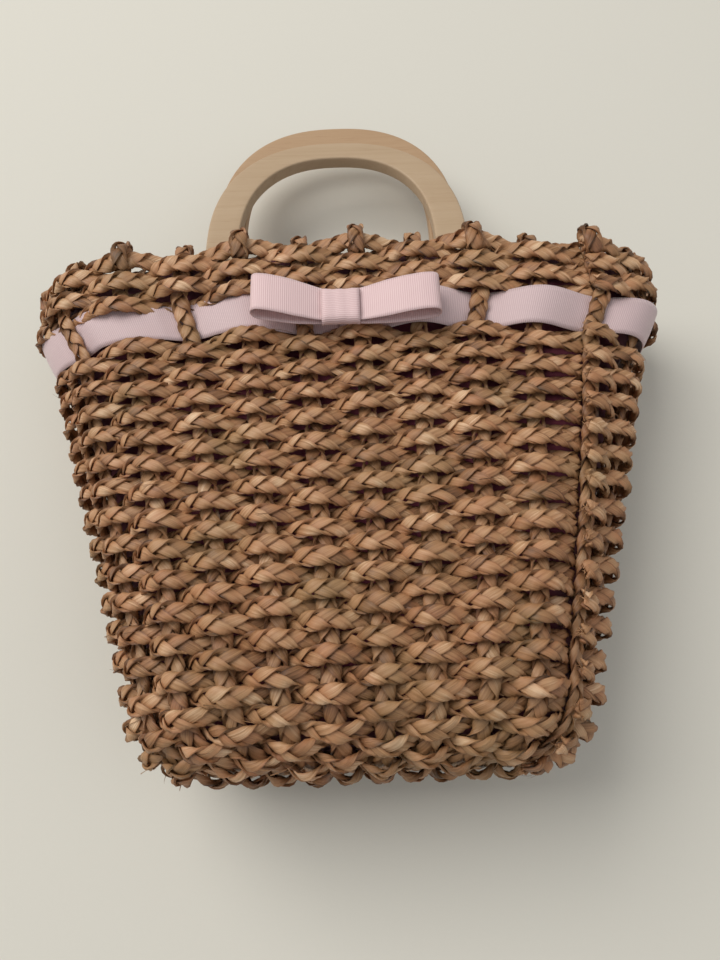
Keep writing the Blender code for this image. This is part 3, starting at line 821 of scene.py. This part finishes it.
def add_handle(name, y, pivot_z, tilt, material):
    """One D handle, a flat board with rounded edges, leaning by its tilt."""
    outer = arch(HANDLE_HALF_WIDTH, HANDLE_TOP, -HANDLE_BAR / 2, OUTER_CORNER)
    inner_half = HANDLE_HALF_WIDTH - HANDLE_LEG_WIDTH
    inner = arch(inner_half, HANDLE_TOP - HANDLE_CROWN_WIDTH, HANDLE_BAR / 2, INNER_CORNER)
    inward = inner - outer
    width = np.linalg.norm(inward, axis=1)
    section = board_section()
    count, around = len(outer), len(section)
    corners = np.empty((count, around, 3))
    for spot, (share, inset, depth) in enumerate(section):
        flat = outer + inward * (share + inset / width)[:, None]
        corners[:, spot, 0] = HANDLE_X + flat[:, 0]
        corners[:, spot, 1] = y + flat[:, 1] * math.sin(tilt) - depth * math.cos(tilt)
        corners[:, spot, 2] = pivot_z + flat[:, 1] * math.cos(tilt) + depth * math.sin(tilt)
    shape = Shape()
    faces = wall_faces(count, around, closed=True)
    shape.add(corners, faces, np.zeros((count, around, 2)), MIDDLE_TINT)
    shape.piece(f"{name}_board", material, name, [name])


# ---------------------------------------------------------------- materials


class Nodes:
    """Short ways to add and join the nodes of one material."""

    def __init__(self, name):
        self.material = bpy.data.materials.new(name)
        self.material.use_nodes = True
        self.tree = self.material.node_tree
        self.shader = self.tree.nodes["Principled BSDF"]

    def add(self, kind, inputs=None, **settings):
        node = self.tree.nodes.new(kind)
        for name, value in settings.items():
            setattr(node, name, value)
        for name, value in (inputs or {}).items():
            if isinstance(value, bpy.types.NodeSocket):
                self.tree.links.new(value, node.inputs[name])
            else:
                node.inputs[name].default_value = value
        return node

    def join(self, value, socket):
        self.tree.links.new(value, self.shader.inputs[socket])

    def set(self, socket, value):
        self.shader.inputs[socket].default_value = value

    def ramp(self, factor, stops):
        node = self.add("ShaderNodeValToRGB", {"Fac": factor})
        elements = node.color_ramp.elements
        while len(elements) < len(stops):
            elements.new(0.5)
        for element, (place, colour) in zip(elements, stops):
            element.position = place
            element.color = (*colour, 1.0)
        return node.outputs["Color"]

    def mix(self, factor, first, second, blend="MIX"):
        node = self.add("ShaderNodeMix", data_type="RGBA", blend_type=blend)
        for index, value in ((0, factor), (6, first), (7, second)):
            if isinstance(value, bpy.types.NodeSocket):
                self.tree.links.new(value, node.inputs[index])
            elif index == 0:
                node.inputs[index].default_value = value
            else:
                node.inputs[index].default_value = (*value, 1.0)
        return node.outputs[2]

    def math(self, operation, first, second=0.0):
        return self.add("ShaderNodeMath", {0: first, 1: second}, operation=operation).outputs[0]

    def scaled(self, value, factor, shift):
        inputs = {0: value, 1: factor, 2: shift}
        return self.add("ShaderNodeMath", inputs, operation="MULTIPLY_ADD").outputs[0]

    def noise(self, vector, scale, detail=2.0, roughness=0.5):
        inputs = {"Vector": vector, "Scale": scale, "Detail": detail, "Roughness": roughness}
        return self.add("ShaderNodeTexNoise", inputs).outputs["Fac"]

    def stretched(self, vector, scale):
        node = self.add("ShaderNodeMapping", {"Vector": vector, "Scale": scale})
        return node.outputs["Vector"]

    def bump(self, height, strength, distance, normal=None):
        inputs = {"Height": height, "Strength": strength, "Distance": distance}
        if normal is not None:
            inputs["Normal"] = normal
        return self.add("ShaderNodeBump", inputs).outputs["Normal"]


LEAF_TONES = [
    (0.00, (0.067, 0.028, 0.0105)),
    (0.26, (0.214, 0.096, 0.040)),
    (0.48, (0.375, 0.190, 0.085)),
    (0.72, (0.505, 0.284, 0.144)),
    (1.00, (0.790, 0.550, 0.345)),
]
LEAF_PINK = (0.475, 0.208, 0.096)
LEAF_OLIVE = (0.257, 0.170, 0.070)
WOOD_TONES = [
    (0.25, (0.51, 0.35, 0.205)),
    (0.46, (0.58, 0.42, 0.26)),
    (0.62, (0.61, 0.45, 0.285)),
    (0.80, (0.65, 0.49, 0.32)),
]
WOOD_PORE = (0.42, 0.26, 0.14)
FRONT_WOOD_TINT = (0.79, 0.78, 0.79)
# The back handle's wood is darker and warmer than the front one's: painted shade.
SHADED_BACK_WOOD_TINT = (0.76, 0.68, 0.63)
LEAF_SHADE = 1.0
STAKE_LEAF_SHADE = 0.88
# The ribbon band's colours are the bow's ribbon colours made darker: painted shade.
SHADED_RIBBON_LIGHT = (0.72, 0.56, 0.55)
SHADED_RIBBON_DEEP = (0.56, 0.41, 0.42)
BOW_LIGHT = (0.85, 0.66, 0.65)
BOW_DEEP = (0.68, 0.46, 0.46)
RIB_WIDTH = 0.00105
THREAD_WIDTH = 0.0011


def times(colour, tint):
    return tuple(part * factor for part, factor in zip(colour, tint))


def tinted(tones, tint):
    return [(place, times(colour, tint)) for place, colour in tones]


def leaf_material(name, shade):
    """Dried flat leaf: fine fibres along each strand, tones that change from fold to fold, painted
    shade towards each strand's long edges and where it dips under the others.
    """
    nodes = Nodes(name)
    grain = nodes.add("ShaderNodeUVMap", uv_map="grain").outputs["UV"]
    # The tint holds each strand's own random tone and painted shade where it dips under the others.
    strand_tone_and_shade = nodes.add("ShaderNodeAttribute", attribute_name="tint").outputs["Fac"]
    fine = nodes.noise(nodes.stretched(grain, (9.0, 60.0, 1.0)), 1.0, 5.0, 0.68)
    broad = nodes.noise(nodes.stretched(grain, (4.5, 45.0, 1.0)), 1.0, 2.0)
    patch = nodes.noise(nodes.stretched(grain, (0.8, 85.0, 1.0)), 1.0, 1.0)
    place = nodes.add("ShaderNodeTexCoord").outputs["Object"]
    region = nodes.noise(place, 26.0, 1.0)
    tone = nodes.math("ADD", nodes.scaled(fine, 0.95, -0.475), strand_tone_and_shade)
    tone = nodes.math("ADD", tone, nodes.scaled(broad, 0.5, -0.25))
    # Each strand is painted darker towards its two long edges: painted shade where the strands tuck
    # under one another.
    split = nodes.add("ShaderNodeSeparateXYZ", {"Vector": grain})
    off_middle = nodes.math("ABSOLUTE", nodes.math("SUBTRACT", split.outputs["X"], 0.5))
    edge = nodes.math("POWER", nodes.math("MULTIPLY", off_middle, 2.0), 6.0)
    tone = nodes.math("SUBTRACT", tone, nodes.math("MULTIPLY", edge, 0.30))
    tint = (shade, shade, shade)
    colour = nodes.ramp(tone, tinted(LEAF_TONES, tint))
    pink = nodes.ramp(patch, [(0.42, (0.0, 0.0, 0.0)), (0.70, (0.55, 0.55, 0.55))])
    colour = nodes.mix(pink, colour, times(LEAF_PINK, tint))
    olive = nodes.ramp(region, [(0.50, (0.0, 0.0, 0.0)), (0.75, (0.45, 0.45, 0.45))])
    colour = nodes.mix(olive, colour, times(LEAF_OLIVE, tint))
    nodes.join(colour, "Base Color")
    nodes.join(nodes.scaled(fine, 0.30, 0.34), "Roughness")
    nodes.set("Specular IOR Level", 0.42)
    normal = nodes.bump(fine, 0.55, 0.0005)
    normal = nodes.bump(broad, 0.35, 0.0009, normal)
    nodes.join(normal, "Normal")
    return nodes.material


def ribbon_material(name, light, deep):
    """Grosgrain: fine ribs across the ribbon, painted shade between the ribs and in the weave, a soft
    sheen.
    """
    nodes = Nodes(name)
    grain = nodes.add("ShaderNodeUVMap", uv_map="grain").outputs["UV"]
    split = nodes.add("ShaderNodeSeparateXYZ", {"Vector": grain})
    turns = nodes.math("MULTIPLY", split.outputs["X"], math.tau / RIB_WIDTH)
    rib = nodes.scaled(nodes.math("SINE", turns), 0.5, 0.5)
    weave = nodes.noise(nodes.stretched(grain, (900.0, 5200.0, 1.0)), 1.0, 2.0)
    cloud = nodes.noise(nodes.stretched(grain, (60.0, 90.0, 1.0)), 1.0, 2.0)
    # Each rib goes from the deep colour to the light one and back: painted shade between the ribs.
    colour = nodes.mix(rib, deep, light)
    shadow = nodes.math("MULTIPLY", weave, 0.22)
    colour = nodes.mix(shadow, colour, deep)
    blush = nodes.math("MULTIPLY", cloud, 0.25)
    colour = nodes.mix(blush, colour, deep)
    nodes.join(colour, "Base Color")
    nodes.set("Roughness", 0.52)
    nodes.set("Specular IOR Level", 0.30)
    nodes.set("Sheen Weight", 0.25)
    nodes.set("Sheen Roughness", 0.4)
    height = nodes.math("ADD", rib, nodes.math("MULTIPLY", weave, 0.3))
    nodes.join(nodes.bump(height, 0.6, 0.00018), "Normal")
    return nodes.material


def lining_material():
    """Deep rose cloth with a plain weave."""
    nodes = Nodes("lining_cloth_look")
    grain = nodes.add("ShaderNodeUVMap", uv_map="grain").outputs["UV"]
    split = nodes.add("ShaderNodeSeparateXYZ", {"Vector": grain})
    turn = math.tau / THREAD_WIDTH
    warp = nodes.math("SINE", nodes.math("MULTIPLY", split.outputs["X"], turn))
    weft = nodes.math("SINE", nodes.math("MULTIPLY", split.outputs["Y"], turn))
    weave = nodes.scaled(nodes.math("MULTIPLY", warp, weft), 0.5, 0.5)
    place = nodes.add("ShaderNodeTexCoord").outputs["Object"]
    cloud = nodes.noise(place, 35.0, 3.0)
    colour = nodes.ramp(cloud, [(0.3, (0.15, 0.018, 0.040)), (0.7, (0.24, 0.035, 0.065))])
    shade = nodes.math("MULTIPLY", weave, 0.35)
    colour = nodes.mix(shade, colour, (0.10, 0.012, 0.028))
    nodes.join(colour, "Base Color")
    nodes.set("Roughness", 0.85)
    nodes.set("Sheen Weight", 0.3)
    nodes.join(nodes.bump(weave, 0.5, 0.0003), "Normal")
    return nodes.material


def wood_material(name, tint):
    """Pale sanded wood with faint long grain, its colours multiplied by the tint."""
    nodes = Nodes(name)
    place = nodes.add("ShaderNodeTexCoord").outputs["Object"]
    bend = nodes.noise(place, 9.0, 2.0)
    long_grain = nodes.stretched(place, (9.0, 160.0, 260.0))
    grain = nodes.add("ShaderNodeTexNoise", {
        "Vector": long_grain, "Scale": 1.0, "Detail": 4.0, "Roughness": 0.6, "Distortion": 0.6,
    }).outputs["Fac"]
    pores = nodes.noise(nodes.stretched(place, (90.0, 1500.0, 1500.0)), 1.0, 2.0)
    tone = nodes.math("ADD", nodes.math("MULTIPLY", grain, 0.7), nodes.math("MULTIPLY", bend, 0.3))
    colour = nodes.ramp(tone, tinted(WOOD_TONES, tint))
    dark = nodes.ramp(pores, [(0.58, (0.0, 0.0, 0.0)), (0.75, (0.3, 0.3, 0.3))])
    colour = nodes.mix(dark, colour, times(WOOD_PORE, tint))
    nodes.join(colour, "Base Color")
    nodes.join(nodes.scaled(grain, 0.2, 0.38), "Roughness")
    nodes.set("Specular IOR Level", 0.35)
    nodes.join(nodes.bump(grain, 0.12, 0.0003), "Normal")
    return nodes.material


# ---------------------------------------------------------------- stage, light and camera


def stage_material(name, colour, from_below):
    """A pale matt surface that is there only for a camera below, or only for one above, z = 0."""
    nodes = Nodes(name)
    place = nodes.add("ShaderNodeTexCoord").outputs["Object"]
    weave = nodes.noise(place, 420.0, 2.0)
    shade = nodes.math("MULTIPLY", weave, 0.10)
    dark = tuple(0.90 * part for part in colour)
    nodes.join(nodes.mix(shade, colour, dark), "Base Color")
    nodes.set("Roughness", 0.9)
    nodes.set("Specular IOR Level", 0.1)
    nodes.join(nodes.bump(weave, 0.10, 0.0005), "Normal")
    camera = nodes.add(
        "ShaderNodeVectorTransform", {"Vector": (0.0, 0.0, 0.0)},
        vector_type="POINT", convert_from="CAMERA", convert_to="WORLD",
    )
    split = nodes.add("ShaderNodeSeparateXYZ", {"Vector": camera.outputs[0]})
    test = "LESS_THAN" if from_below else "GREATER_THAN"
    shown = nodes.math(test, split.outputs["Z"], 0.0)
    clear = nodes.add("ShaderNodeBsdfTransparent")
    mixer = nodes.add("ShaderNodeMixShader", {
        0: shown, 1: clear.outputs[0], 2: nodes.shader.outputs[0],
    })
    output = nodes.tree.nodes["Material Output"]
    nodes.tree.links.new(mixer.outputs[0], output.inputs["Surface"])
    return nodes.material


def add_plane(name, corners, material):
    mesh = bpy.data.meshes.new(name)
    mesh.from_pydata(corners, [], [(0, 1, 2, 3)])
    mesh.materials.append(material)
    add_object(name, mesh)


PALE = (0.70, 0.675, 0.60)


def add_stage():
    """A table top that the back of the basket lies on, and a floor that it stands on."""
    low_y, low_z = 0.0565, 0.046
    high_y, high_z = 0.0450, 0.270
    slope = (high_y - low_y) / (high_z - low_z)
    bottom, top = -1.5, 3.0
    near = low_y + slope * (bottom - low_z)
    far = low_y + slope * (top - low_z)
    table = [(-3, near, bottom), (3, near, bottom), (3, far, top), (-3, far, top)]
    add_plane("table_top", table, stage_material("table_cloth", PALE, True))
    floor = [(-4, -4, 0), (4, -4, 0), (4, 4, 0), (-4, 4, 0)]
    add_plane("floor", floor, stage_material("floor_surface", PALE, False))


def add_light(name, place, target, size, power, colour):
    data = bpy.data.lights.new(name, "AREA")
    data.size = size
    data.energy = power
    data.color = colour
    light = add_object(name, data)
    light.location = place
    light.rotation_euler = (Vector(target) - Vector(place)).to_track_quat("-Z", "Y").to_euler()
    light.visible_camera = False


def add_lights():
    """Soft light from the upper left, weak fill and back light, and an even pale room."""
    middle = (0.0, 0.0, 0.16)
    add_light("key_light", (-1.8, -2.6, 1.3), middle, 2.6, 93.0, (1.0, 0.98, 0.95))
    add_light("fill_light", (2.0, -2.2, -0.6), middle, 2.4, 9.0, (0.96, 0.98, 1.0))
    add_light("back_light", (1.8, 2.6, 2.2), middle, 2.0, 60.0, (1.0, 0.98, 0.95))
    world = bpy.data.worlds.new("pale_room")
    world.use_nodes = True
    tree = world.node_tree
    background = tree.nodes["Background"]
    background.inputs["Color"].default_value = (0.93, 0.94, 0.95, 1.0)
    background.inputs["Strength"].default_value = 0.42
    seen = tree.nodes.new("ShaderNodeBackground")
    seen.inputs["Color"].default_value = (0.62, 0.60, 0.54, 1.0)
    light_path = tree.nodes.new("ShaderNodeLightPath")
    mixer = tree.nodes.new("ShaderNodeMixShader")
    tree.links.new(light_path.outputs["Is Camera Ray"], mixer.inputs[0])
    tree.links.new(background.outputs[0], mixer.inputs[1])
    tree.links.new(seen.outputs[0], mixer.inputs[2])
    tree.links.new(mixer.outputs[0], tree.nodes["World Output"].inputs["Surface"])
    bpy.context.scene.world = world
    bpy.context.scene.view_settings.view_transform = "Standard"


CAMERA_LENS = 27.04
CAMERA_LIFT = math.radians(24.2)
CAMERA_ROLL = math.radians(-2.07)
CAMERA_DISTANCE = 0.330
CAMERA_AIM_X = 0.0025
CAMERA_AIM_Z = 0.1288
CAMERA_FOOT_Z = 0.0452


def add_camera():
    """A hand-held camera close below the basket's middle, looking up along its front."""
    data = bpy.data.cameras.new("camera")
    data.lens = CAMERA_LENS
    data.sensor_width = 36.0
    data.clip_start = 0.01
    camera = add_object("camera", data)
    aim_y = -(FOOT_HALF_DEPTH - DEPTH_LEAN * (CAMERA_AIM_Z - CAMERA_FOOT_Z))
    ahead = Vector((0, math.cos(CAMERA_LIFT), math.sin(CAMERA_LIFT)))
    up = Vector((0, -math.sin(CAMERA_LIFT), math.cos(CAMERA_LIFT)))
    right = Vector((1, 0, 0))
    turned_right = right * math.cos(CAMERA_ROLL) + up * math.sin(CAMERA_ROLL)
    turned_up = up * math.cos(CAMERA_ROLL) - right * math.sin(CAMERA_ROLL)
    location = Vector((CAMERA_AIM_X, aim_y, CAMERA_AIM_Z)) - ahead * CAMERA_DISTANCE
    columns = (turned_right, turned_up, -ahead, location)
    for column, vector in enumerate(columns):
        for line in range(3):
            camera.matrix_world[line][column] = vector[line]
    bpy.context.scene.camera = camera


# ---------------------------------------------------------------- build


def build():
    leaf = leaf_material("leaf_plait_look", LEAF_SHADE)
    stake_leaf = leaf_material("stake_plait_look", STAKE_LEAF_SHADE)
    # The band's material is a darker copy of the bow's: painted shade.
    shaded_band = ribbon_material("shaded_ribbon_look", SHADED_RIBBON_LIGHT, SHADED_RIBBON_DEEP)
    bow = ribbon_material("bow_ribbon_look", BOW_LIGHT, BOW_DEEP)
    cloth = lining_material()
    front_wood = wood_material("front_handle_wood", FRONT_WOOD_TINT)
    # The back handle's wood is a darker, warmer copy of the front one's: painted shade.
    shaded_back_wood = wood_material("shaded_back_handle_wood", SHADED_BACK_WOOD_TINT)
    add_rows(leaf)
    add_cross_stakes(stake_leaf)
    add_long_stakes(stake_leaf)
    add_base_row(leaf)
    add_ribbon(shaded_band)
    add_bow_loop("bow_left_loop", -1, 0.90, 0.0068, bow)
    add_bow_loop("bow_right_loop", 1, 1.0, 0.0025, bow)
    add_bow_wrap(bow)
    add_lining(cloth)
    add_sleeve("front_handle_sleeve", -HANDLE_Y, FRONT_PIVOT_Z, cloth)
    add_sleeve("back_handle_sleeve", HANDLE_Y, BACK_PIVOT_Z, cloth)
    add_handle("front_handle", -HANDLE_Y, FRONT_PIVOT_Z, FRONT_TILT, front_wood)
    add_handle("back_handle", HANDLE_Y, BACK_PIVOT_Z, BACK_TILT, shaded_back_wood)
    add_stage()
    add_lights()
    add_camera()


build()
